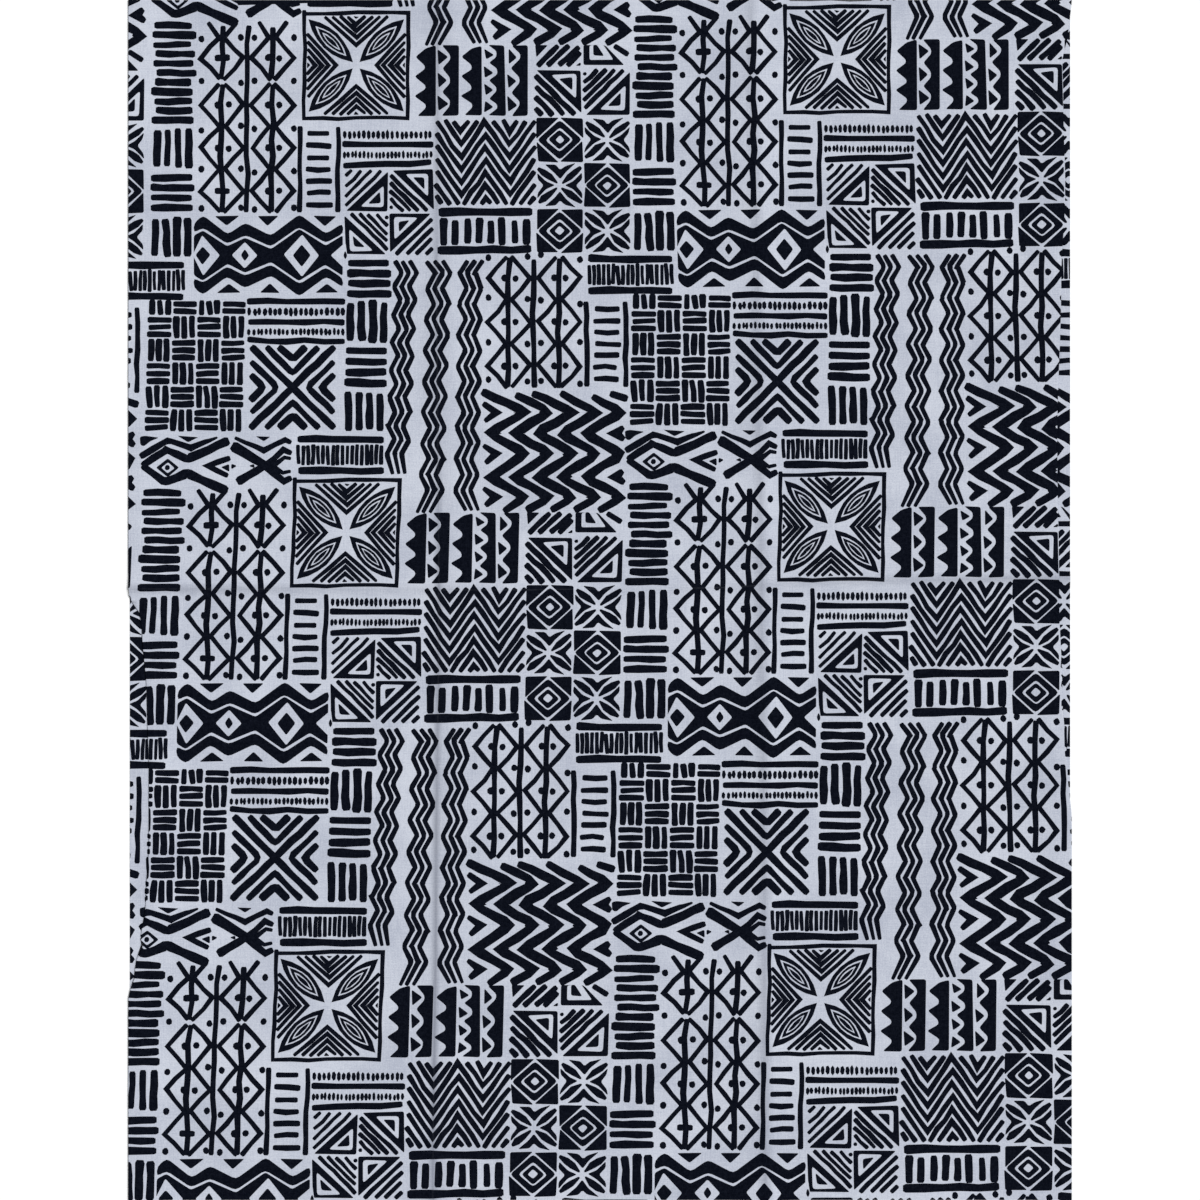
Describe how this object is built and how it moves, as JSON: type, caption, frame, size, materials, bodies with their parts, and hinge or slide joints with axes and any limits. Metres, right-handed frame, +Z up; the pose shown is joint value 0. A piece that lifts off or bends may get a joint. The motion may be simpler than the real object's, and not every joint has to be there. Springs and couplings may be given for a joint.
{
  "type": "wax print fabric",
  "caption": "Cut length of printed cotton cloth lying flat and face up, with its storage creases and a narrow tuck along each cut end; for sewing, wrapping and covering.",
  "frame": {"origin": "middle of the laid cloth, on the surface it rests on", "axes": "+X along the selvedge, +Y across the loom width, +Z up out of the printed face"},
  "size_m": [0.943, 1.2, 0.0061],
  "materials": {
    "printed_cotton": "plain-woven cotton, matt, pale ground with a blue-black print on the face"
  },
  "bodies": {
    "root": {"wax_print_cloth": "printed_cotton"}
  },
  "joints": []
}
